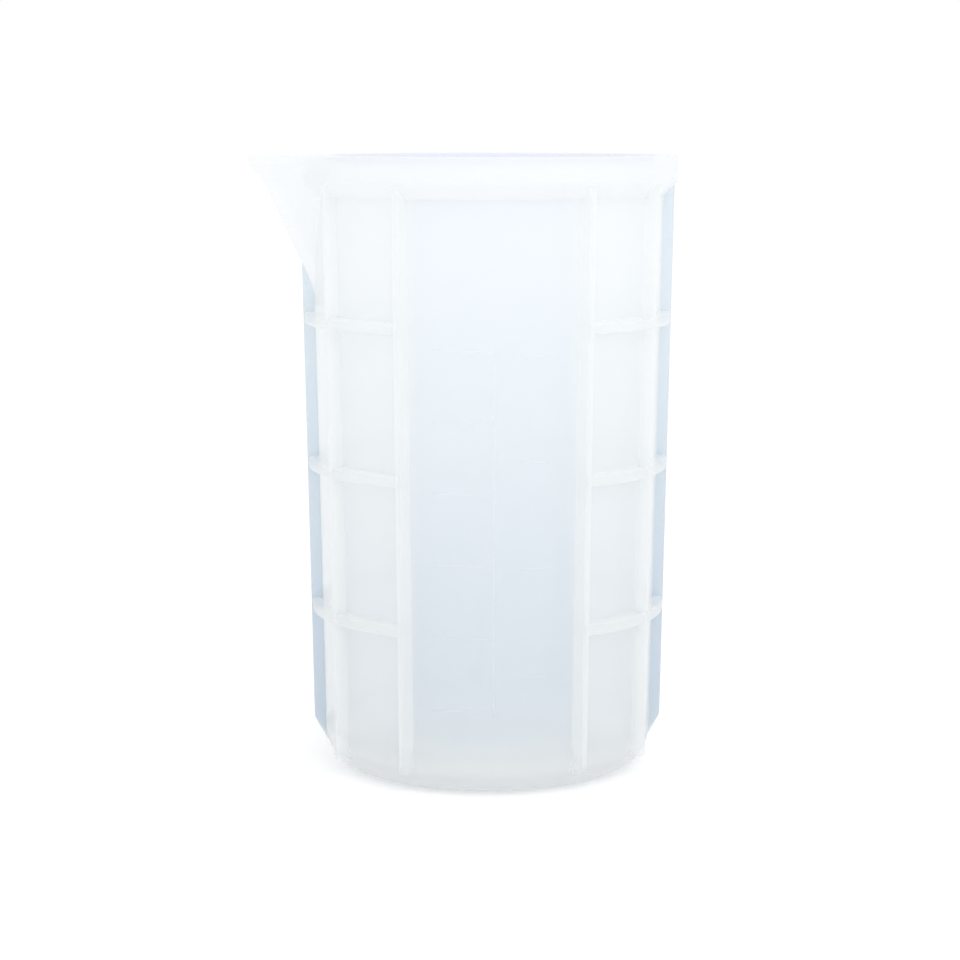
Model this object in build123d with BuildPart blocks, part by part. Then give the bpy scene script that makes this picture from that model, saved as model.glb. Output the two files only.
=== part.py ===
from build123d import *
import os
from math import asin, cos, hypot, pi, radians, sin

# Resin mixing cup, one silicone moulding divided at its moulded features.
# Millimetres and degrees. The origin is the centre of the underside, +Z is up, the plain front
# panel faces -Y and the spout points to -X.

# Body: a cup that widens a little towards the brim
cup_height = 162.0
base_radius = 43.4  # the outer wall's slope carried down to the table
wall_spread = 2.95  # how much wider the outer wall's slope is at the brim
wall_thickness = 2.8
floor_thickness = 3.5
base_corner_radius = 8.9  # outside, round the underside
dish_rim_height = 1.0  # the floor's upstand above its rounded corners, where the wall begins
corner_steps = 5  # each rounded corner is a chain of straight lines

# Rim band: a thick collar round the brim with a sloped underside
band_reach = 3.5  # how far it stands out from the wall
band_height = 6.6
band_slope_height = 3.8
brim_bevel = 0.6  # all along the brim, spout and all

# Spout: a V-shaped trough with a straight keel and a thicker lip
spout_reach = 62.6  # from the cup's axis to the lip's tip
keel_reach = 61.8  # where the keel's slope meets the height of the brim
spout_drop = 35.4  # from the brim down to where the keel leaves the wall
spout_lip_height = 2.8  # the upright edge at the brim
spout_lip_slope_height = 3.2  # the sloped underside of the lip
spout_wall = 2.8
spout_tip_radius = 2.9
spout_channel_radius = 1.4
spout_side_inset = 0.9  # how far inside the brim's inner edge each side face passes
tip_steps = 6

# Vertical ribs: ten, every 30 degrees except at the plain front and back panels
rib_pitch = 30.0
front_direction = -90.0  # from +X round to the middle of the front panel
rib_depth = 3.1
rib_root_width = 2.65
rib_edge_width = 1.85
rib_edge_bevel = 0.4
rib_foot_height = 5.3
rib_foot_bevel = 1.4
fin_corner_height = 11.3  # where the middle rib of each side starts its run-out
fin_knee_height = 5.8
fin_knee_depth = 0.1
fin_toe_width = 0.3

# Ring ribs: three on each side
first_ring_height = 42.8
last_ring_clearance = 7.0  # from the last ring up to the spout's foot
ring_width = 2.9
ring_setback = 0.4  # how far the rings' edges lie inside the vertical ribs' edges
ring_bays = 4

# Measuring scale: raised lines on the front panel
scale_headroom = 12.2  # from the top mark up to the spout's foot
mark_relief = 0.3
mark_line = 0.7
stem_tail = 1.2  # how far the upright line runs on below the lowest mark
millilitre_mark = 15.5
millilitre_steps = 6  # equal volumes up to the top mark
ounce_mark = 7.7
ounce_mark_offset = 6.3  # clear of the upright line
ounce_steps = 4
ounce_share = 20 * 29.5735 / 600  # twenty fluid ounces as a share of the top mark's 600 ml

overrun = 1.0  # how far a cutting shape runs past what it cuts

os.makedirs("parts", exist_ok=True)

rim_radius = base_radius + wall_spread
wall_slope = wall_spread / cup_height
inner_corner_radius = base_corner_radius - wall_thickness
band_radius = rim_radius + band_reach
band_foot = cup_height - band_height - band_slope_height
dish_height = max(base_corner_radius, floor_thickness + inner_corner_radius) + dish_rim_height
bevel_foot = cup_height - brim_bevel
lip_foot = cup_height - spout_lip_height
lip_slope_foot = lip_foot - spout_lip_slope_height
spout_foot_height = cup_height - spout_drop
scale_top = spout_foot_height - scale_headroom


def outer_radius(height):
    """The outer wall's radius at a height."""
    return base_radius + wall_slope * height


def inner_radius(height):
    """The inner wall's radius at a height."""
    return outer_radius(height) - wall_thickness


def corner_points(middle_radius, middle_height, corner_radius, steps):
    """Points down a quarter of a circle in a radial section, from its side to its bottom."""
    turns = [pi / 2 * step / steps for step in range(steps + 1)]
    return [
        (middle_radius + corner_radius * cos(turn), middle_height - corner_radius * sin(turn))
        for turn in turns
    ]


def turned(points):
    """A solid turned round the axis from an outline of (radius, height)."""
    with BuildPart() as body:
        with BuildSketch(Plane.XZ):
            with BuildLine():
                Polyline(*points, close=True)
            make_face()
        revolve(axis=Axis.Z)
    return body.part


# The rounded corners, outside under the wall and inside above the floor
outer_corner_middle = outer_radius(base_corner_radius) - base_corner_radius
outer_corner = corner_points(outer_corner_middle, base_corner_radius, base_corner_radius, corner_steps)
inner_corner_height = floor_thickness + inner_corner_radius
inner_corner_middle = inner_radius(inner_corner_height) - inner_corner_radius
inner_corner = corner_points(
    inner_corner_middle, inner_corner_height, inner_corner_radius, corner_steps
)

# The cup's filled outer form, used to shape the roots of everything that stands on the wall
outer_form = turned([(0, 0), (0, cup_height), (outer_radius(cup_height), cup_height), *outer_corner])

# The space inside the cup above the floor dish, flared by the bevel of the brim's inner edge
cavity = turned(
    [
        (0, dish_height),
        (inner_radius(dish_height), dish_height),
        (inner_radius(bevel_foot), bevel_foot),
        (inner_radius(bevel_foot) + brim_bevel + overrun, cup_height + overrun),
        (0, cup_height + overrun),
    ]
)

# The rim band before the spout is let into it
band_ring = turned(
    [
        (inner_radius(band_foot), band_foot),
        (outer_radius(band_foot), band_foot),
        (band_radius, band_foot + band_slope_height),
        (band_radius, bevel_foot),
        (band_radius - brim_bevel, cup_height),
        (inner_radius(cup_height), cup_height),
    ]
)


# The spout's keel, its lip and its channel are all the same V with a rounded tip. The lip's side
# faces pass a little inside the brim's inner edge, which sets the V's half angle.
side_line = inner_radius(cup_height) - spout_side_inset
half_angle = asin((side_line - spout_tip_radius) / (spout_reach - spout_tip_radius))
keel_per_height = (keel_reach - outer_radius(spout_foot_height)) / (cup_height - spout_foot_height)
spout_root = spout_foot_height - (wall_thickness + overrun) / keel_per_height


def v_outline(height, reach, tip_radius):
    """The V across the spout at a height, its rounded tip at a reach from the cup's axis."""
    middle = reach - tip_radius
    to_apex = tip_radius / sin(half_angle)
    back = (middle + to_apex) * cos(half_angle)
    back_x, back_y = back * cos(half_angle) - middle - to_apex, back * sin(half_angle)
    spread = pi / 2 - half_angle
    turns = [spread * (2 * step / tip_steps - 1) for step in range(tip_steps + 1)]
    tip = [(-middle - tip_radius * cos(turn), tip_radius * sin(turn)) for turn in turns]
    with BuildSketch(Plane.XY.offset(height)) as outline:
        with BuildLine():
            Polyline((back_x, -back_y), *tip, (back_x, back_y), close=True)
        make_face()
    return outline.sketch


def keel_wedge(brim_reach, tip_radius, top):
    """A V from below the spout's foot up along the keel's slope to a height."""
    rise = top - spout_root
    run = rise * keel_per_height
    root_reach = brim_reach - (cup_height - spout_root) * keel_per_height
    with BuildPart() as wedge:
        extrude(v_outline(spout_root, root_reach, tip_radius), amount=hypot(run, rise), dir=(-run, 0, rise))
    return wedge.part


# The spout's outside: the keel and the lip, whose underside slopes back into the keel
lip_run = spout_reach - keel_reach + (cup_height - lip_slope_foot) * keel_per_height
lip_slope = hypot(lip_run, spout_lip_slope_height)
with BuildPart() as spout_form:
    add(keel_wedge(keel_reach, spout_tip_radius, bevel_foot - brim_bevel))
    extrude(v_outline(lip_foot, spout_reach, spout_tip_radius), amount=bevel_foot - lip_foot)
    extrude(
        v_outline(lip_foot, spout_reach, spout_tip_radius),
        amount=lip_slope + overrun,
        dir=(lip_run, 0, -spout_lip_slope_height),
    )
    lip_edge = v_outline(bevel_foot, spout_reach, spout_tip_radius)
    brim_edge = v_outline(cup_height, spout_reach - brim_bevel, spout_tip_radius - brim_bevel)
    loft([lip_edge.face(), brim_edge.face()], ruled=True)

# The channel, a wall's thickness inside the keel's V and flared by the bevel of the brim
to_side = 1 / sin(half_angle)
channel_reach = keel_reach - spout_tip_radius + (spout_tip_radius - spout_wall) * to_side
channel_reach -= spout_channel_radius * (to_side - 1)
edge_reach = channel_reach - brim_bevel * keel_per_height
flare = brim_bevel + overrun
with BuildPart() as spout_channel:
    add(keel_wedge(channel_reach, spout_channel_radius, bevel_foot))
    channel_edge = v_outline(bevel_foot, edge_reach, spout_channel_radius)
    flared_edge = v_outline(cup_height + overrun, edge_reach + flare, spout_channel_radius + flare)
    loft([channel_edge.face(), flared_edge.face()], ruled=True)


# Floor: a shallow dish that carries the rounded corner of the underside
cup_floor = turned(
    [
        (0, floor_thickness),
        *reversed(inner_corner),
        (inner_radius(dish_height), dish_height),
        (outer_radius(dish_height), dish_height),
        *outer_corner,
        (0, 0),
    ]
)

# Wall: a tapered tube, notched where the spout pours through it
with BuildPart() as cup_wall:
    add(
        turned(
            [
                (outer_radius(dish_height), dish_height),
                (outer_radius(band_foot), band_foot),
                (inner_radius(band_foot), band_foot),
                (inner_radius(dish_height), dish_height),
            ]
        )
    )
    add(spout_form.part, mode=Mode.SUBTRACT)

# The band and the spout in one, so that one bevel runs along both edges of the whole brim
with BuildPart() as brim:
    add(band_ring)
    add(spout_form.part)
    add(spout_channel.part, mode=Mode.SUBTRACT)
    add(cavity, mode=Mode.SUBTRACT)

# Rim band: the brim outside the spout's V
with BuildPart() as rim_band:
    add(brim.part)
    add(spout_form.part, mode=Mode.SUBTRACT)

# Pouring spout: the brim inside the V, with its channel cut through into the cup
with BuildPart() as pouring_spout:
    add(brim.part)
    add(rim_band.part, mode=Mode.SUBTRACT)


def upright_rib(place, foot, foot_line):
    """A rib so many pitches from the front, its foot cut along a line of (depth, height) points."""
    turn = radians(place * rib_pitch + front_direction)
    outward = Vector(cos(turn), sin(turn), 0)
    draft = (rib_root_width - rib_edge_width) / 2 / rib_depth
    root_depth = outer_radius(foot) - base_radius + base_corner_radius
    root = outer_radius(foot) - root_depth
    edge = outer_radius(foot) + rib_depth
    root_half = rib_root_width / 2 + draft * root_depth
    edge_half = rib_edge_width / 2
    rise = band_foot + band_slope_height - foot
    with BuildPart() as rib:
        with BuildSketch(Plane((0, 0, foot), x_dir=outward, z_dir=(0, 0, 1))) as section:
            with BuildLine():
                Polyline(
                    (root, -root_half), (edge, -edge_half), (edge, edge_half), (root, root_half), close=True
                )
            make_face()
            chamfer(section.vertices().group_by(Axis.X)[-1], rib_edge_bevel)
        lean = outward * (wall_slope * rise) + Vector(0, 0, rise)
        extrude(amount=lean.length, dir=lean)
        for (depth, height), (next_depth, next_height) in zip(foot_line, foot_line[1:]):
            corner = outward * (outer_radius(height) + depth) + Vector(0, 0, height)
            run = outer_radius(height) + depth - outer_radius(next_height) - next_depth
            cut_normal = outward * (next_height - height) + Vector(0, 0, run)
            split(bisect_by=Plane(corner, z_dir=cut_normal), keep=Keep.TOP)
        add(outer_form, mode=Mode.SUBTRACT)
        add(band_ring, mode=Mode.SUBTRACT)
        add(spout_form.part, mode=Mode.SUBTRACT)
    return rib.part


# Vertical ribs, from the front panel round each side to the back panel
right_ribs = ["front_right_rib", "right_front_rib", "right_fin", "right_back_rib", "back_right_rib"]
left_ribs = ["front_left_rib", "left_front_rib", "left_fin", "left_back_rib", "back_left_rib"]
toe_reach, toe_height = outer_corner[corner_steps // 2]
toe_depth = toe_reach + fin_toe_width - outer_radius(toe_height)
fin_foot_line = [(rib_depth, fin_corner_height), (fin_knee_depth, fin_knee_height), (toe_depth, toe_height)]
rib_foot_line = [(rib_depth, rib_foot_height + rib_foot_bevel), (rib_depth - rib_foot_bevel, rib_foot_height)]
ribs = {}
for side, names in ((1, right_ribs), (-1, left_ribs)):
    for place, name in enumerate(names, start=1):
        if name.endswith("fin"):
            ribs[name] = upright_rib(side * place, toe_height, fin_foot_line)
        else:
            ribs[name] = upright_rib(side * place, rib_foot_height, rib_foot_line)


def ring_rib(first_place, height):
    """A rib along the wall from the rib at first_place to the last one of that side."""
    turn = radians(first_place * rib_pitch + front_direction)
    section_plane = Plane((0, 0, 0), x_dir=(cos(turn), sin(turn), 0), z_dir=(sin(turn), -cos(turn), 0))
    with BuildPart() as ring:
        with BuildSketch(section_plane):
            with Locations((outer_radius(height) - overrun, height)):
                Rectangle(rib_depth - ring_setback + overrun, ring_width, align=(Align.MIN, Align.CENTER))
        revolve(axis=Axis.Z, revolution_arc=ring_bays * rib_pitch)
        add(outer_form, mode=Mode.SUBTRACT)
        add(spout_form.part, mode=Mode.SUBTRACT)
        for rib in ribs.values():
            add(rib, mode=Mode.SUBTRACT)
    return ring.part


# Ring ribs: each is four lengths between the ribs that it crosses
rings = {}
ring_levels = ["lower", "middle", "upper"]
last_ring_height = spout_foot_height - last_ring_clearance
ring_pitch = (last_ring_height - first_ring_height) / (len(ring_levels) - 1)
for count, level in enumerate(ring_levels):
    ring_height = first_ring_height + count * ring_pitch
    rings[f"right_{level}_ring"] = ring_rib(1, ring_height)
    rings[f"left_{level}_ring"] = ring_rib(-1 - ring_bays, ring_height)


# The measuring scale divides the volume under its top mark into equal shares
def volume_under(height):
    """The volume of the tapered inside between the floor and a height."""
    low = inner_radius(floor_thickness)
    high = inner_radius(height)
    return pi * (high**3 - low**3) / (3 * wall_slope)


def mark_height(share):
    """The height that a share of the top mark's volume fills the cup to."""
    cube = 3 * wall_slope * share * volume_under(scale_top) / pi + inner_radius(floor_thickness) ** 3
    return floor_thickness + (cube ** (1 / 3) - inner_radius(floor_thickness)) / wall_slope


# A thin skin on the wall, as thick as the marks are raised
mark_skin = turned(
    [
        (outer_radius(dish_height) - overrun, dish_height),
        (outer_radius(dish_height) + mark_relief, dish_height),
        (outer_radius(band_foot) + mark_relief, band_foot),
        (outer_radius(band_foot) - overrun, band_foot),
    ]
)

millilitre_levels = [mark_height(step / millilitre_steps) for step in range(1, millilitre_steps + 1)]
with BuildPart() as millilitre_marks:
    with BuildSketch(Plane.XZ):
        stem_foot = millilitre_levels[0] - stem_tail
        with Locations((0, stem_foot)):
            Rectangle(mark_line, scale_top + mark_line / 2 - stem_foot, align=(Align.CENTER, Align.MIN))
        with Locations(*[(0, level) for level in millilitre_levels]):
            Rectangle(millilitre_mark, mark_line, align=(Align.MAX, Align.CENTER))
    extrude(amount=band_radius)
    add(mark_skin, mode=Mode.INTERSECT)
    add(outer_form, mode=Mode.SUBTRACT)

with BuildPart() as ounce_marks:
    with BuildSketch(Plane.XZ):
        for step in range(1, ounce_steps + 1):
            with Locations((ounce_mark_offset, mark_height(ounce_share * step / ounce_steps))):
                Rectangle(ounce_mark, mark_line, align=(Align.MIN, Align.CENTER))
    extrude(amount=band_radius)
    add(mark_skin, mode=Mode.INTERSECT)
    add(outer_form, mode=Mode.SUBTRACT)

pieces = {
    "cup_floor": cup_floor,
    "cup_wall": cup_wall.part,
    "rim_band": rim_band.part,
    "pouring_spout": pouring_spout.part,
    "millilitre_marks": millilitre_marks.part,
    "ounce_marks": ounce_marks.part,
    **ribs,
    **rings,
}
for name, piece in pieces.items():
    piece.label = name
    export_step(piece, f"parts/{name}.step")
    print(f"{name}: {len(piece.solids())} solid(s), {piece.volume:.1f} mm3")

print(f"half angle of the spout's V: {half_angle * 180 / pi:.1f} degrees")
print(f"held up to the top mark: {volume_under(scale_top) / 1000:.1f} ml")
print(f"held up to the brim: {volume_under(cup_height) / 1000:.1f} ml")
print("marks at", [round(level, 1) for level in millilitre_levels])
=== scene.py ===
# %% [markdown]
# # A resin mixing cup in milky silicone
# The cup is one moulding: a tapered body, a thick band round the brim, a V-shaped pouring spout,
# ribs up the sides, rings across them and a faint raised scale on the plain front panel.
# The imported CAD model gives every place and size. This lesson dresses it: each moulded feature is
# worked out again as a smooth surface on a grid of numbers, with the soft roundings that rubber
# has, and gets a milky, slightly see-through finish.

# %% The fixed frame
from math import asin, cos, pi, radians, sin

import bmesh
import bpy
import numpy as np
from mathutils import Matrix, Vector


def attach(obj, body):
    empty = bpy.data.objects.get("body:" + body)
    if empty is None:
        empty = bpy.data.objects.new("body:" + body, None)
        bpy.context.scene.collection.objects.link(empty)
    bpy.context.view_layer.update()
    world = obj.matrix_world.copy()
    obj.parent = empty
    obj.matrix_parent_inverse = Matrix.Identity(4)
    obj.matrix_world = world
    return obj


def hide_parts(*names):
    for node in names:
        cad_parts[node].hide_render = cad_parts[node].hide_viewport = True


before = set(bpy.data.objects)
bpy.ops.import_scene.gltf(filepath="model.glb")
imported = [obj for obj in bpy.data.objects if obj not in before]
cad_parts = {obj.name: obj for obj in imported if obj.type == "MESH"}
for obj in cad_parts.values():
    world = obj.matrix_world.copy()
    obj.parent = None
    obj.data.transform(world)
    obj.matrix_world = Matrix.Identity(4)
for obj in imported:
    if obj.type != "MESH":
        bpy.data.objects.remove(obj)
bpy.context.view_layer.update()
BODY = "root"
MM = 0.001
print("CAD nodes:", len(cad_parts))

# %% [markdown]
# ## The sizes
# On the real cup, the mould sets these sizes. They could be read from the imported boxes one by
# one, but a named list in millimetres is easier to follow.
# Heights are counted up from the table, and reaches outwards from the cup's axis.

# %% Driving sizes, in millimetres
# The body
HEIGHT = 162.0
BASE_RADIUS = 43.4  # the outer wall's slope carried down to the table
RIM_RADIUS = 46.35  # the same slope at the brim
WALL = 2.8
FLOOR = 3.5
CORNER = 8.9  # outside, round the underside
DISH_TOP = 10.6  # where the floor piece ends and the wall piece begins

# The band round the brim
BAND_RADIUS = 49.84
BAND_FOOT = 151.6
BAND_SHOULDER = 155.4  # the top of its sloped underside
BAND_FILLET = 0.8
BRIM_ROUND = 0.75

# The pouring spout
SPOUT_REACH = 62.6  # to the lip's tip
KEEL_REACH = 61.8  # where the keel's slope meets the brim's height
SPOUT_FOOT = 126.6  # where the keel leaves the wall
LIP_FOOT = 159.2  # the lip stands upright from here to the brim
LIP_SLOPE_FOOT = 156.0
TIP_RADIUS = 2.9
CHANNEL_TIP = 1.4
SIDE_INSET = 0.9  # how far inside the brim's inner edge each side face passes
SPOUT_FILLET = 2.4

# The upright ribs, with angles in degrees
RIB_PITCH = 30.0
FRONT = -90.0  # from +X round to the middle of the front panel
RIB_DEPTH = 3.1
RIB_ROOT_HALF = 1.325
RIB_EDGE_HALF = 0.925
RIB_EDGE_ROUND = 0.45
ROOT_ROUND = 0.5

# The rings
RING_HEIGHTS = (42.8, 81.2, 119.6)
RING_HALF = 1.45
RING_DEPTH = 2.7
RING_EDGE_ROUND = 0.6

slope = (RIM_RADIUS - BASE_RADIUS) / HEIGHT
print("the wall leans out by", round(slope * 100, 2), "mm in 100 mm")

# %% [markdown]
# ## The outline of the cup at any height
# Seen from above, the cup is a circle, and the spout is a V with a rounded tip laid over it. The
# outline could be two solids joined by a fillet. One radius for each direction and height is
# simpler: the circle's or the V's, whichever reaches further, with a soft change between them,
# as the mould maker's fillet has.


# %% Radii as functions of direction and height
def soft_max(a, b, width):
    """The larger of a and b, with a rounded change: max(a, b) + (width - |a - b|)^2 / (4 width)
    where a and b differ by less than the width."""
    near = np.clip(width - np.abs(a - b), 0, None)
    return np.maximum(a, b) + near**2 / (4 * width)


def soft_min(a, b, width):
    """The smaller of a and b, with the same rounded change."""
    return -soft_max(-a, -b, width)


def wall_radius(z):
    """The outer wall's radius: a straight line that leans out a little towards the brim."""
    return BASE_RADIUS + slope * z


def circle_radius(z):
    """The wall, and above the band's foot a slope out to the band's upright face."""
    lean = (BAND_RADIUS - wall_radius(BAND_FOOT)) / (BAND_SHOULDER - BAND_FOOT)
    underside = wall_radius(BAND_FOOT) + lean * (z - BAND_FOOT)
    return soft_min(soft_max(wall_radius(z), underside, BAND_FILLET), BAND_RADIUS, BAND_FILLET)


side_line = RIM_RADIUS - WALL - SIDE_INSET
half_angle = asin((side_line - TIP_RADIUS) / (SPOUT_REACH - TIP_RADIUS))
keel_slope = (KEEL_REACH - wall_radius(SPOUT_FOOT)) / (HEIGHT - SPOUT_FOOT)
channel_reach = KEEL_REACH - TIP_RADIUS + (TIP_RADIUS - WALL) / sin(half_angle)
channel_reach -= CHANNEL_TIP * (1 / sin(half_angle) - 1)


def v_radius(turn, reach, tip):
    """Distance to a V with a rounded tip, in the direction at a turn from the spout's.

    Near the tip it is the far side of a circle about the point at reach - tip. Elsewhere it is a
    straight side at distance d from the axis, which is d / cos(turn - lean) away."""
    below_quarter = 1.5  # in radians: keeps the cosine above zero
    turn = np.abs(turn)
    middle = reach - tip
    lean = pi / 2 - half_angle
    from_side = np.clip(turn - lean, -below_quarter, below_quarter)
    side = (middle * sin(half_angle) + tip) / np.cos(from_side)
    tangent = np.arctan2(tip * sin(lean), middle + tip * cos(lean))
    under_root = np.clip(tip**2 - (middle * np.sin(turn)) ** 2, 0, None)
    rounded = middle * np.cos(turn) + np.sqrt(under_root)
    return np.where(turn < lean, np.where(turn < tangent, rounded, side), 0)


def keel_at(z):
    """The keel climbs in a straight line; near the brim the lip juts out and stands upright."""
    keel = KEEL_REACH - keel_slope * (HEIGHT - z)
    keel_at_foot = KEEL_REACH - keel_slope * (HEIGHT - LIP_SLOPE_FOOT)
    below_lip = np.clip((LIP_FOOT - z) / (LIP_FOOT - LIP_SLOPE_FOOT), 0, None)
    return np.maximum(keel, SPOUT_REACH - (SPOUT_REACH - keel_at_foot) * below_lip)


def outer(turn, z):
    """The outer surface's radius at a turn from the spout's direction."""
    return soft_max(circle_radius(z), v_radius(turn, keel_at(z), TIP_RADIUS), SPOUT_FILLET)


def inner(turn, z):
    """The inner surface's radius: the wall less its thickness, or the pouring channel."""
    channel = channel_reach - keel_slope * (HEIGHT - z)
    return soft_max(wall_radius(z) - WALL, v_radius(turn, channel, CHANNEL_TIP), SPOUT_FILLET)


print("half angle of the V:", round(np.degrees(half_angle), 1), "degrees")

# %% [markdown]
# ## From rows of points to a mesh
# A grid of points needs only two things to become a mesh: its corners taken four at a time, and
# its open borders closed. Blender's own primitives could be bent into shape, but a grid keeps
# every row where its formula puts it.


# %% Mesh helpers
def grid_faces(rows, columns, wrap_rows=False, wrap_columns=False):
    """Four-cornered faces between neighbouring points of a grid stored row by row."""
    r = np.arange(rows if wrap_rows else rows - 1)[:, None]
    c = np.arange(columns if wrap_columns else columns - 1)[None, :]
    r_next, c_next = (r + 1) % rows, (c + 1) % columns
    corners = (
        r * columns + c,
        r * columns + c_next,
        r_next * columns + c_next,
        r_next * columns + c,
    )
    return np.stack(np.broadcast_arrays(*corners), -1).reshape(-1, 4)


def cap_faces(count, step, first):
    """Faces that close a mirrored section: its points pair up from both ends towards the middle."""
    left = np.arange(count // 2 - 1)
    right = count - 1 - left
    return np.stack([left, left + 1, right - 1, right], -1) * step + first


def close_and_turn_out(mesh):
    """Merges points that fall together at seams and poles and points all faces outwards."""
    apart = 1e-6  # in metres
    work = bmesh.new()
    work.from_mesh(mesh)
    bmesh.ops.remove_doubles(work, verts=work.verts, dist=apart)
    bmesh.ops.dissolve_degenerate(work, edges=work.edges, dist=apart / 10)
    bmesh.ops.recalc_face_normals(work, faces=work.faces)
    work.to_mesh(mesh)
    work.free()


def count_open_edges(mesh):
    """Edges that don't lie between exactly two faces; a closed piece has none."""
    loops = np.zeros(len(mesh.loops), np.int32)
    mesh.loops.foreach_get("edge_index", loops)
    return int((np.bincount(loops, minlength=len(mesh.edges)) != 2).sum())


def make_piece(name, points, faces, stands_for, material, sharp=35):
    """Puts points in millimetres and faces into a mesh that rides on the cup's body."""
    mesh = bpy.data.meshes.new(name)
    mesh.from_pydata((points * MM).tolist(), [], faces.tolist())
    piece = bpy.data.objects.new(name, mesh)
    bpy.context.collection.objects.link(piece)
    close_and_turn_out(mesh)
    mesh.shade_smooth()
    mesh.set_sharp_from_angle(angle=radians(sharp))
    mesh.materials.append(material)
    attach(piece, BODY)
    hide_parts(*stands_for)
    print(f"{name}: {len(mesh.polygons)} faces, {count_open_edges(mesh)} open edges")
    return piece


# %% [markdown]
# ## Shader sums written as Python
# A node tree is hard to read as a list of links. A small wrapper round a socket lets a formula
# be written as a formula: each + - * / adds one Math node.


# %% A socket that can be added and multiplied
class Sum:
    """One value in a node tree, with operators that add Math nodes."""

    def __init__(self, tree, socket=None):
        self.tree, self.socket = tree, socket

    def node(self, kind, settings=None, out=0, **inputs):
        """Adds a node: its settings first, then values or links by socket name or _number."""
        made = self.tree.nodes.new(kind)
        for key, value in (settings or {}).items():
            setattr(made, key, value)
        for key, value in inputs.items():
            socket = made.inputs[int(key[1:])] if key[0] == "_" else made.inputs[key.replace("_", " ")]
            if isinstance(value, Sum):
                self.tree.links.new(value.socket, socket)
            else:
                socket.default_value = value
        return Sum(self.tree, made.outputs[out])

    def into(self, socket):
        """Links this value to a socket."""
        self.tree.links.new(self.socket, socket)

    def math(self, operation, *values, clamp=False):
        """Adds a Math node on the values."""
        inputs = {f"_{i}": v for i, v in enumerate(values)}
        return self.node("ShaderNodeMath", {"operation": operation, "use_clamp": clamp}, **inputs)

    def __add__(self, other):
        return self.math("ADD", self, other)

    def __sub__(self, other):
        return self.math("SUBTRACT", self, other)

    def __mul__(self, other):
        return self.math("MULTIPLY", self, other)

    def __truediv__(self, other):
        return self.math("DIVIDE", self, other)

    def __radd__(self, other):
        return self.math("ADD", other, self)

    def __rsub__(self, other):
        return self.math("SUBTRACT", other, self)

    def __rmul__(self, other):
        return self.math("MULTIPLY", other, self)

    def size(self):
        """The value without its sign."""
        return self.math("ABSOLUTE", self)

    def step(self, low, high):
        """0 below low, 1 above high and a smooth change between."""
        smooth = {"interpolation_type": "SMOOTHSTEP"}
        return self.node("ShaderNodeMapRange", smooth, Value=self, From_Min=low, From_Max=high)

    def mix(self, first, second):
        """A colour that goes from the first to the second as this value goes from 0 to 1."""
        return self.node("ShaderNodeMix", {"data_type": "RGBA"}, out=2, _0=self, _6=first, _7=second)


def looked_at(tree):
    """1 where the camera sees a surface itself, in a reflection or through something, else 0."""
    path = tree.nodes.new("ShaderNodeLightPath")
    rays = ("Is Camera Ray", "Is Glossy Ray", "Is Transmission Ray")
    camera, glossy, through = (Sum(tree, path.outputs[ray]) for ray in rays)
    return camera.math("ADD", camera + glossy, through, clamp=True)


def srgb(red, green, blue):
    """A screen colour from 0 to 255 as the linear colour that a shader takes."""
    share = np.array([red, green, blue]) / 255
    linear = np.where(share <= 0.04045, share / 12.92, ((share + 0.055) / 1.055) ** 2.4)
    return (*[float(v) for v in linear], 1.0)


# %% [markdown]
# ## Milky silicone
# Unfilled silicone rubber is milky: light passes, but is scattered on its way, so thick places
# look whiter and thin ones bluish and clearer. It could be made with a scattering volume, which
# is slow and is lost on export. A surface that lets some of what is behind it through gives much
# the same look. Light and shade are also painted into its colour: painted shade darker towards the
# foot, a darker, bluer wall in front and behind where it is single (partly its own tint, partly
# painted shade), a painted dark line along the brim, painted dark blue-grey fins and painted light
# close to the ground.

# %% Where the finish and its painted light and shade change
HALF_PANEL = sin(radians(RIB_PITCH)) * BASE_RADIUS  # from the middle of the panel to its ribs, in mm
# Where the darker, bluer colour in front and behind ends: partly the thin wall's own tint, partly
# painted shade.
PANEL_EDGE = (0.82, 1.05)  # shares of that half width between which the panel's colour ends
PANEL_FOOT = (0.02, 0.18)  # these and the next are shares of the cup's height
# Painted light close to the ground:
GROUND_LIGHT_END = (0.0, 0.12)
RIB_FADE = (0.025, 0.085)
# The painted dark line on the brim's inner face:
INNER_FACE = (-0.1, 1.2)  # millimetres outside the brim's inner radius
PAINTED_BRIM_LINE = (-3.2, -1.2)  # millimetres from the brim
# Where a fin's painted shade is left off:
CROWN = (0.45, 0.85)  # millimetres from the middle of a fin


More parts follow.
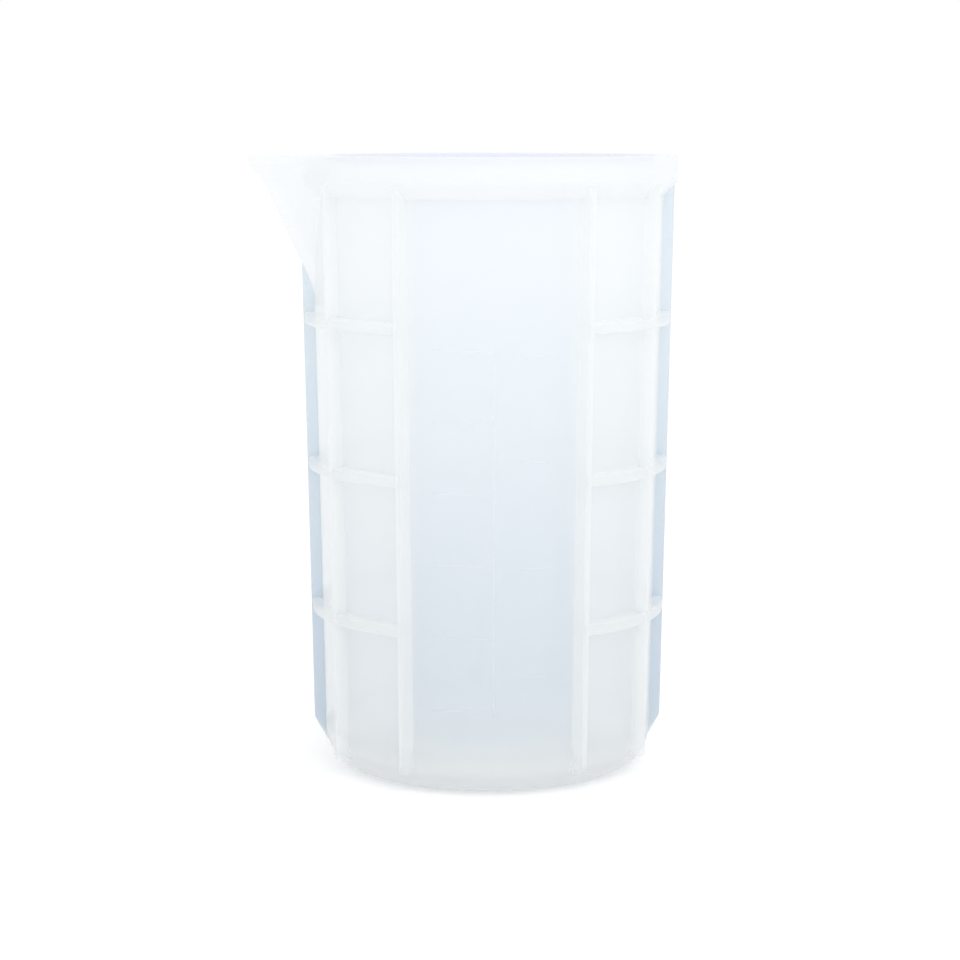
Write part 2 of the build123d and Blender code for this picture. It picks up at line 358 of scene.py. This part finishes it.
# %% The silicone's finish, with painted light and shade
def colour_with_painted_light(here, place, spread, top, foot, panel_tint_and_shade, inside, painted_ground_light, crown):
    """The colour at a place, with painted light and shade: from foot to top with height, then one
    change for each name given.
    """
    split = place.tree.nodes.new("ShaderNodeSeparateXYZ")
    place.into(split.inputs[0])
    x, y, z = (Sum(place.tree, out) for out in split.outputs)
    height = z / (HEIGHT * MM)
    wander = height + spread
    # Painted shade: the colour darkens from top to foot.
    colour = wander.step(0.0, 0.95).mix(srgb(*foot), srgb(*top))
    # Front and back, between the ribs, darker and bluer towards the foot: partly the thin wall's own
    # bluish tint, partly painted shade.
    if panel_tint_and_shade:
        low, high = (HALF_PANEL * share * MM for share in PANEL_EDGE)
        middle = (1 - x.size().step(low, high)) * height.step(*PANEL_FOOT)
        bluish_tint_and_shade = wander.step(0.0, 0.9).mix(srgb(*panel_tint_and_shade[1]), srgb(*panel_tint_and_shade[0]))
        colour = middle.mix(colour, bluish_tint_and_shade)
    # A painted dark line along the brim's inner face, for the dark edge the rounded brim shows as it
    # bends the light.
    if inside:
        reach = here.math("SQRT", x * x + y * y)
        low, high = ((RIM_RADIUS - WALL + past) * MM for past in INNER_FACE)
        foot_of_line, top_of_line = ((HEIGHT + past) * MM for past in PAINTED_BRIM_LINE)
        on_painted_line = (1 - reach.step(low, high)) * z.step(foot_of_line, top_of_line)
        colour = on_painted_line.mix(colour, srgb(*inside))
    # Painted light: a lighter colour close to the ground, lifting the shade round the foot.
    if painted_ground_light:
        colour = (1 - height.step(*GROUND_LIGHT_END)).mix(colour, srgb(*painted_ground_light))
    # Along a fin's outer edge its painted shade is left off, giving a lighter, plain colour there.
    if crown:
        low, high = (past * MM for past in CROWN)
        colour = (1 - y.size().step(low, high)).mix(colour, srgb(*crown))
    return colour, height


def silicone(
    name, top, foot, alpha,
    panel_tint_and_shade=None, inside=None, painted_ground_light=None, crown=None, through=(252, 253, 254), fading=False,
):
    """A milky finish: alpha is how much of it is seen, and half of that is light let through.

    Its colour goes from foot to top with height, as painted shade that darkens it towards the foot.
    In front and behind it changes to a darker, bluer colour, partly the thin wall's own tint and
    partly painted shade; on the brim's inner face to a painted dark line; close to the ground to a
    painted lighter colour; and near the plane y = 0, the middle of a fin's outer edge, to the crown
    colour, where a fin's painted shade is left off. With fading it gets clearer at the foot."""
    material = bpy.data.materials.new(name)
    material.use_nodes = True
    tree = material.node_tree
    shader = tree.nodes["Principled BSDF"]
    here = Sum(tree)
    place = here.node("ShaderNodeTexCoord", out=3)

    cloud = here.node("ShaderNodeTexNoise", Vector=place, Scale=22.0, Detail=3.0, Roughness=0.5)
    along = here.node("ShaderNodeMapping", Vector=place, Scale=(260.0, 260.0, 9.0))
    streak = here.node("ShaderNodeTexNoise", Vector=along, Scale=1.0, Detail=2.0, Roughness=0.5)
    spread = (cloud - 0.5) * 0.10 + (streak - 0.5) * 0.03
    colour, height = colour_with_painted_light(here, place, spread, top, foot, panel_tint_and_shade, inside, painted_ground_light, crown)
    colour.into(shader.inputs["Base Color"])

    grain = here.node("ShaderNodeTexNoise", Vector=place, Scale=900.0, Detail=2.0, Roughness=0.6)
    (0.42 + (grain - 0.5) * 0.12).into(shader.inputs["Roughness"])
    bump = here.node("ShaderNodeBump", Height=grain + streak * 0.6, Strength=0.05, Distance=0.0002)
    bump.into(shader.inputs["Normal"])
    shader.inputs["IOR"].default_value = 1.41

    glow_through = here.node("ShaderNodeBsdfTranslucent", Color=srgb(*through))
    milk = here.node("ShaderNodeMixShader", _0=0.5, _1=Sum(tree, shader.outputs[0]), _2=glow_through)
    clear = here.node("ShaderNodeBsdfTransparent", Color=(1.0, 1.0, 1.0, 1.0))
    share = alpha * (0.4 + 0.6 * height.step(*RIB_FADE)) if fading else alpha
    layered = here.node("ShaderNodeMixShader", _0=share, _1=clear, _2=milk)
    layered.into(tree.nodes["Material Output"].inputs["Surface"])
    return material


# Painted shade: darker towards the foot, and darker and bluer in front and behind, that last partly
# the thin wall's own tint. Painted light: lighter close to the ground.
wall_milk = silicone(
    "Milky silicone, wall",
    top=(251, 254, 255), foot=(235, 240, 243), alpha=0.6,
    panel_tint_and_shade=((243, 249, 254), (213, 225, 235)), painted_ground_light=(248, 249, 248),
)
# A painted dark line runs along the brim's inner face.
rim_milk = silicone(
    "Milky silicone, rim and spout",
    top=(252, 254, 255), foot=(253, 254, 254), alpha=0.66, inside=(206, 212, 240),
)
# Ribs and rings: lighter than the wall, partly as thicker silicone and partly as a painted highlight.
# They are a little darker towards the foot, as painted shade.
rib_milk = silicone(
    "Milky silicone, ribs",
    top=(253, 255, 254), foot=(248, 250, 250), alpha=0.6, fading=True,
)
# Painted shade: the fins are dark blue-grey and darker towards the foot, for the dark the thin fins
# show as they bend the light. Their outer edge is left lighter.
fin_milk = silicone(
    "Milky silicone, fins",
    top=(238, 245, 250), foot=(194, 209, 222), alpha=0.7,
    crown=(250, 252, 252), through=(234, 242, 249),
)
mark_milk = silicone(
    "Milky silicone, scale",
    top=(255, 255, 255), foot=(255, 255, 255), alpha=0.14,
)
print("finishes:", [m.name for m in (wall_milk, rim_milk, rib_milk, fin_milk, mark_milk)])

# %% [markdown]
# ## The floor
# The floor is a shallow dish with a flat underside and a generous rounded corner. It is a body
# of revolution, so a profile from the middle of the underside round the corner and back to the
# middle of the inside, turned about the axis, gives it whole.


# %% The floor, turned round the axis
def arc(middle, height, radius, start, stop, count):
    """Points (radius, height) along an arc from a start to a stop angle in degrees."""
    turn = np.radians(np.linspace(start, stop, count))
    return np.stack([middle + radius * np.cos(turn), height + radius * np.sin(turn)], -1)


def level_line(start, stop, height, count=8):
    """Points (radius, height) along a level line."""
    return np.stack([np.linspace(start, stop, count), np.full(count, height)], -1)


def turned(profile, columns=192):
    """A profile of (radius, height) turned round the axis: x = r cos, y = r sin at each turn."""
    turn = np.linspace(0, 2 * pi, columns, endpoint=False)
    r, z = profile[:, :1], profile[:, 1:]
    points = np.stack([r * np.cos(turn), r * np.sin(turn), z + 0 * turn], -1)
    return points.reshape(-1, 3), grid_faces(len(profile), columns, wrap_columns=True)


inner_corner = CORNER - WALL
corner_middle = wall_radius(CORNER) - CORNER
inside_height = FLOOR + inner_corner
inside_middle = wall_radius(inside_height) - WALL - inner_corner
line_gap = 1.0  # between the end of a level line and the start of the arc
dish_edge = wall_radius(DISH_TOP)
floor_profile = np.concatenate([
    level_line(0, corner_middle - line_gap, 0),
    arc(corner_middle, CORNER, CORNER, -90, 0, 20),
    [[dish_edge, DISH_TOP], [dish_edge - WALL, DISH_TOP]],
    arc(inside_middle, inside_height, inner_corner, 0, -90, 16),
    level_line(inside_middle - line_gap, 0, FLOOR),
])
make_piece("cup_floor_skin", *turned(floor_profile), ["cup_floor"], wall_milk)

# %% [markdown]
# ## The wall, the rim band and the spout
# On the real cup these run into each other without a seam. Here each is cut from the same pair
# of surfaces, outer and inner, along the spout's border and the band's foot, so they meet
# exactly. A closed profile, up the outside and down the inside, is carried round the axis.

# %% Carrying a profile round between two borders
BORDER_FADE = 4.0  # the border opens from this far below the spout's foot to as far above it
BORDER_MARGIN = radians(5)  # room for the fillet


def spout_border(z):
    """Half the spout's angle at a height: where the V leaves the circle, and the fillet's margin."""
    side = (keel_at(z) - TIP_RADIUS) * sin(half_angle) + TIP_RADIUS
    ratio = np.clip(side / circle_radius(z), 0, 1)
    crossing = np.clip(pi / 2 - half_angle - np.arccos(ratio), 0, None)
    fade = np.clip((z - SPOUT_FOOT + BORDER_FADE) / (2 * BORDER_FADE), 0, 1)
    return (crossing + BORDER_MARGIN) * fade**2 * (3 - 2 * fade)


def carried(profile, columns, in_spout):
    """A closed profile carried round: each row is (height, inset), up the outside, down the inside.

    The turn runs from one border of the spout to the other, through it or round the cup. Where
    the borders stand apart, flat faces from outside to inside close both ends."""
    count = len(profile)
    rows = np.concatenate([profile, profile[::-1]])
    z, inset = rows[:, :1], rows[:, 1:]
    border = spout_border(z)
    share = np.linspace(0, 1, columns)[None, :]
    if in_spout:
        turn = border * (2 * share - 1)
    else:
        turn = border + share * (2 * pi - 2 * border)
    from_spout = (turn + pi) % (2 * pi) - pi
    outside = np.arange(2 * count)[:, None] < count
    r = np.where(outside, outer(from_spout, z) - inset, inner(from_spout, z) + inset)
    points = np.stack([-r * np.cos(turn), -r * np.sin(turn), z + 0 * r], -1)
    k = np.arange(count - 1)
    k = k[(border[k, 0] > 1e-9) | (border[k + 1, 0] > 1e-9)]
    end = np.stack([k, k + 1, 2 * count - 2 - k, 2 * count - 1 - k], -1) * columns
    faces = [grid_faces(2 * count, columns, wrap_rows=True), end, end + columns - 1]
    return points.reshape(-1, 3), np.concatenate(faces)


def plain_rows(low, high, count):
    """Rows at even heights with no inset."""
    return np.stack([np.linspace(low, high, count), np.zeros(count)], -1)


def brim_rows(low, count, edge_count=7):
    """Rows up to the brim, with its rounded edge as the last few."""
    turn = np.linspace(0, pi / 2, edge_count)
    edge = np.stack([HEIGHT - BRIM_ROUND * (1 - np.sin(turn)), BRIM_ROUND * (1 - np.cos(turn))], -1)
    return np.concatenate([plain_rows(low, HEIGHT - BRIM_ROUND, count)[:-1], edge])


# %% Wall, band and spout as pieces
spout_start = SPOUT_FOOT - BORDER_FADE
wall_rows = np.concatenate([
    plain_rows(DISH_TOP, spout_start, 12)[:-1],
    plain_rows(spout_start, BAND_FOOT, 36),
])
band_rows = brim_rows(BAND_FOOT, 22)
spout_rows = brim_rows(spout_start, 80)
make_piece("cup_wall_skin", *carried(wall_rows, 240, False), ["cup_wall"], wall_milk)
make_piece("rim_band_skin", *carried(band_rows, 240, False), ["rim_band"], rim_milk)
make_piece("pouring_spout_skin", *carried(spout_rows, 97, True), ["pouring_spout"], rim_milk)

# %% [markdown]
# ## The upright ribs
# Ten ribs stiffen the wall. Each has a rounded edge, a little draft so that it leaves the mould,
# and soft fillets at its root. One section is carried up the wall; the foot's run-out comes from
# making the section shallower towards its lower end.

# %% One rib, as a section carried up the wall
SINK = 0.02  # how far a root lies inside the wall
END_LAP = 0.35  # how far a rib's end runs into what it meets
END_SPAN = 8.0  # the height over which the end's rows take up its slope
NARROWEST = 0.35  # a rib's width where it has no depth, as a share of its full width


def rounded_section(depth, root_half, edge_half, edge_round, count):
    """A section as (depth, half width): a fillet out of the wall, a flank, a rounded edge, and the
    same mirrored. Both arcs are middle + radius times the sine and cosine of the turn."""
    turn = np.linspace(0, pi / 2, count)
    flare = np.stack([
        ROOT_ROUND * (1 - np.cos(turn)),
        root_half + ROOT_ROUND * (1 - np.sin(turn)),
    ], -1)
    edge = np.stack([
        depth - edge_round + edge_round * np.sin(turn),
        edge_half - edge_round + edge_round * np.cos(turn),
    ], -1)
    half = np.concatenate([[[-SINK, root_half + ROOT_ROUND]], flare, edge])
    return np.concatenate([half, half[::-1] * (1, -1)])


def surface_at(z):
    """The cup's outer radius with its rounded corner, below which the wall curves in."""
    below = np.clip(CORNER - z, 0, CORNER)
    return np.where(z < CORNER, corner_middle + np.sqrt(CORNER**2 - below**2), wall_radius(z))


band_climb = (BAND_SHOULDER - BAND_FOOT) / (BAND_RADIUS - wall_radius(BAND_FOOT))
keel_climb = 1 / (keel_slope - slope)


def upright_rib(place, foot_heights, foot_depths, top=BAND_FOOT, climb=band_climb):
    """A rib so many pitches from the front; its depth follows the foot line and then stays.

    Its upper end climbs outwards along what it runs into: the band's underside or the keel."""
    section = rounded_section(RIB_DEPTH, RIB_ROOT_HALF, RIB_EDGE_HALF, RIB_EDGE_ROUND, 7)
    depth_share, half = section[None, :, 0] / RIB_DEPTH, section[None, :, 1]
    z_row = np.concatenate([
        np.linspace(foot_heights[0], foot_heights[-1], 14),
        np.linspace(foot_heights[-1], top, 24)[1:],
    ])[:, None]
    edge = wall_radius(z_row) + np.interp(z_row, foot_heights, foot_depths)
    root = surface_at(z_row)
    rise = np.clip(depth_share, 0, 1) * RIB_DEPTH * climb + END_LAP
    z = z_row + rise * np.clip((z_row - top + END_SPAN) / END_SPAN, 0, 1)
    r = root + (edge - root) * depth_share + (z - z_row) * slope
    full = np.clip((edge - root) / RIB_DEPTH, 0.02, 1)
    across = half * (NARROWEST + (1 - NARROWEST) * full)
    turn = radians(place * RIB_PITCH + FRONT)
    points = np.stack([
        r * cos(turn) - across * sin(turn),
        r * sin(turn) + across * cos(turn),
        z + 0 * r,
    ], -1)
    rows, columns = len(z_row), len(section)
    faces = [grid_faces(rows, columns, wrap_columns=True)]
    faces += [cap_faces(columns, 1, first) for first in (0, (rows - 1) * columns)]
    return points.reshape(-1, 3), np.concatenate(faces)


# %% The ten ribs
toe_turn = radians(36)  # where on the rounded corner a fin's run-out ends
toe_height = CORNER - CORNER * sin(toe_turn)
toe_depth = corner_middle + CORNER * cos(toe_turn) + 0.3 - wall_radius(toe_height)
fin_foot = ([toe_height, 5.8, 11.3, 12.3], [toe_depth, 0.1, 3.0, RIB_DEPTH])
rib_foot = ([5.3, 5.5, 5.9, 6.7], [1.7, 2.3, 2.8, RIB_DEPTH])
right_ribs = ["front_right_rib", "right_front_rib", "right_fin", "right_back_rib", "back_right_rib"]
left_ribs = ["front_left_rib", "left_front_rib", "left_fin", "left_back_rib", "back_left_rib"]
for side, names in ((1, right_ribs), (-1, left_ribs)):
    for place, name in enumerate(names, start=1):
        fin = name.endswith("fin")
        line = fin_foot if fin else rib_foot
        if name == "left_fin":
            line += (SPOUT_FOOT, keel_climb)
        rib = upright_rib(side * place, *line)
        make_piece(name + "_skin", *rib, [name], fin_milk if fin else rib_milk)

# %% [markdown]
# ## The rings
# Three rings on each side tie the ribs together. Each is four lengths, from one rib's flank to
# the next one's. A section with rounded edges is carried round the wall between those flanks.


# %% A ring as four lengths of one section
def ring_lengths(first_place, height, bays=4, columns=25):
    """Each point is at wall radius + depth, between the flanks of two neighbouring ribs."""
    section = rounded_section(RING_DEPTH, RING_HALF, RING_HALF, RING_EDGE_ROUND, 6)
    rows = len(section)
    depth, lift = section[:, :1], section[:, 1:]
    z = height + lift
    r = wall_radius(z) + depth
    draft = (RIB_ROOT_HALF - RIB_EDGE_HALF) / RIB_DEPTH
    flank = np.arcsin((RIB_ROOT_HALF - draft * np.clip(depth, 0, None)) / r)
    share = np.linspace(0, 1, columns)
    low = radians(1) * ((first_place + np.arange(bays)) * RIB_PITCH + FRONT)[:, None, None]
    turn = low + flank + share * (radians(RIB_PITCH) - 2 * flank)
    points = np.stack([r * np.cos(turn), r * np.sin(turn), z + 0 * turn], -1)
    faces = np.concatenate([
        grid_faces(rows, columns, wrap_rows=True),
        cap_faces(rows, columns, 0),
        cap_faces(rows, columns, columns - 1),
    ])
    starts = np.arange(bays)[:, None, None] * rows * columns
    return points.reshape(-1, 3), (faces + starts).reshape(-1, 4)


# %% The six rings
for level, height in zip(("lower", "middle", "upper"), RING_HEIGHTS):
    for side, first_place in (("right", 1), ("left", -5)):
        node = f"{side}_{level}_ring"
        make_piece(node + "_skin", *ring_lengths(first_place, height), [node], rib_milk)

# %% [markdown]
# ## The scale
# Raised lines, a third of a millimetre proud, divide the cup's volume into equal shares: six on
# the left of an upright line, and four of another measure on the right. They could be drawn into
# the colour, but on the real cup they only show by catching the light, so they are real relief:
# low domed strips whose backs lie a hair inside the wall.

# %% Marks as low strips on the wall
MARK_RELIEF = 0.3
MARK_HALF = 0.35
MARK_BACK, MARK_BACK_DOME = 0.03, 0.02
DOME_POWER = 8
MARK_HEIGHTS = (22.82, 41.73, 60.34, 78.64, 96.65, 114.4)
OUNCE_HEIGHTS = (31.85, 59.5, 86.51, 112.9)
MARK_SPAN = (-15.5, -0.6 * MARK_HALF)
OUNCE_SPAN = (6.3, 14.0)
STEM = (21.62, 114.75)


def low_strip(x_range, z_range, count=9):
    """A strip between two x and two heights. Its face is proud of the wall by
    relief (1 - u^8) (1 - v^8), where u and v go from -1 to 1 across it."""
    share = np.linspace(-1, 1, count)
    x = np.interp(share, (-1, 1), x_range)[None, :]
    z = np.interp(share, (-1, 1), z_range)[:, None]
    r = wall_radius(z)
    fall = 1 - np.abs(share) ** DOME_POWER
    dome = fall[None, :] * fall[:, None]
    layers = []
    for proud in (MARK_RELIEF * dome, -MARK_BACK - MARK_BACK_DOME * dome):
        y = -np.sqrt((r + proud) ** 2 - x**2)
        layers.append(np.stack(np.broadcast_arrays(x, y, z), -1).reshape(-1, 3))
    last = count * count
    face = grid_faces(count, count)
    border = np.concatenate([
        np.arange(count),
        np.arange(1, count) * count + count - 1,
        last - 2 - np.arange(count - 1),
        np.arange(count - 2, 0, -1) * count,
    ])
    following = np.roll(border, -1)
    rim = np.stack([border, following, following + last, border + last], -1)
    return np.concatenate(layers), np.concatenate([face[:, ::-1], face + last, rim])


def marks_piece(name, strips):
    """Several strips as one piece."""
    made = [low_strip(*strip) for strip in strips]
    starts = np.cumsum([0] + [len(points) for points, _ in made[:-1]])
    points = np.concatenate([points for points, _ in made])
    faces = np.concatenate([faces + start for (_, faces), start in zip(made, starts)])
    make_piece(name + "_skin", points, faces, [name], mark_milk, sharp=60)


stem = [((-MARK_HALF, MARK_HALF), STEM)]
left = [(MARK_SPAN, (z - MARK_HALF, z + MARK_HALF)) for z in MARK_HEIGHTS]
right = [(OUNCE_SPAN, (z - MARK_HALF, z + MARK_HALF)) for z in OUNCE_HEIGHTS]
marks_piece("millilitre_marks", stem + left)
marks_piece("ounce_marks", right)

# %% [markdown]
# ## The studio
# The cup stands in a white studio: soft light from everywhere, a large soft lamp above in front,
# and a pale floor that runs on past the view and keeps the cup's soft shadow. A lit backdrop
# sheet would do as well, but it would be seen from some sides; light from the world is the same
# all round.

# %% The floor, the world and the lamp
FLOOR_HALF = 6.0  # in metres, as all of the studio
FLOOR_DROP = 0.0001  # keeps the floor just clear of the cup's underside
FLOOR_GLOW = 0.15


def studio_floor():
    """A wide square at the height of the table, white where light falls and darker in the shadow."""
    a = FLOOR_HALF
    mesh = bpy.data.meshes.new("studio_floor")
    mesh.from_pydata([(-a, -a, 0), (a, -a, 0), (a, a, 0), (-a, a, 0)], [], [(0, 1, 2, 3)])
    ground = bpy.data.objects.new("studio_floor", mesh)
    bpy.context.collection.objects.link(ground)
    paint = bpy.data.materials.new("White studio floor")
    paint.use_nodes = True
    shader = paint.node_tree.nodes["Principled BSDF"]
    shader.inputs["Base Color"].default_value = (0.92, 0.92, 0.92, 1)
    shader.inputs["Roughness"].default_value = 0.8
    shader.inputs["Specular IOR Level"].default_value = 0.0
    shader.inputs["Emission Color"].default_value = (1, 1, 1, 1)
    (looked_at(paint.node_tree) * FLOOR_GLOW).into(shader.inputs["Emission Strength"])
    mesh.materials.append(paint)
    ground.location.z = -FLOOR_DROP


def studio_world(light_strength):
    """White light from all round; where it is looked at, a strength of 1 is the white backdrop."""
    world = bpy.data.worlds.new("White studio")
    world.use_nodes = True
    tree = world.node_tree
    back = tree.nodes["Background"]
    back.inputs["Color"].default_value = (1, 1, 1, 1)
    strength = light_strength + looked_at(tree) * (1.0 - light_strength)
    strength.into(back.inputs["Strength"])
    bpy.context.scene.world = world


def soft_lamp(name, place, aim, size, power):
    """A square lamp that faces a point."""
    lamp = bpy.data.lights.new(name, "AREA")
    lamp.shape, lamp.size, lamp.energy = "SQUARE", size, power
    holder = bpy.data.objects.new(name, lamp)
    bpy.context.collection.objects.link(holder)
    holder.location = place
    holder.rotation_euler = (Vector(aim) - Vector(place)).to_track_quat("-Z", "Y").to_euler()


studio_floor()
studio_world(1.0)
soft_lamp("key lamp", (0.35, -0.9, 1.1), (0, 0, 0.08), 0.9, 2.78)

# %% [markdown]
# ## The camera
# The camera stands where the photographer's stood: its place, turn and lens were worked out by
# fitting the outline, the ribs and the rings to the photo. It could be placed by eye, but a
# fitted camera lets the render and the photo lie over each other.

# %% The fitted camera
LOOKS_DOWN, LOOKS_RIGHT = 8.36, 1.91  # in degrees
camera = bpy.data.cameras.new("photo camera")
camera.sensor_width = 36.0
camera.lens = 91.155
camera.clip_start, camera.clip_end = 0.05, 50
holder = bpy.data.objects.new("photo camera", camera)
bpy.context.collection.objects.link(holder)
holder.location = (-0.02346, -0.64297, 0.17029)
holder.rotation_euler = (radians(90 - LOOKS_DOWN), 0, radians(-LOOKS_RIGHT))
bpy.context.scene.camera = holder
bpy.context.scene.view_settings.view_transform = "Standard"
print("camera at", [round(v, 3) for v in holder.location], "lens:", round(camera.lens, 1), "mm")
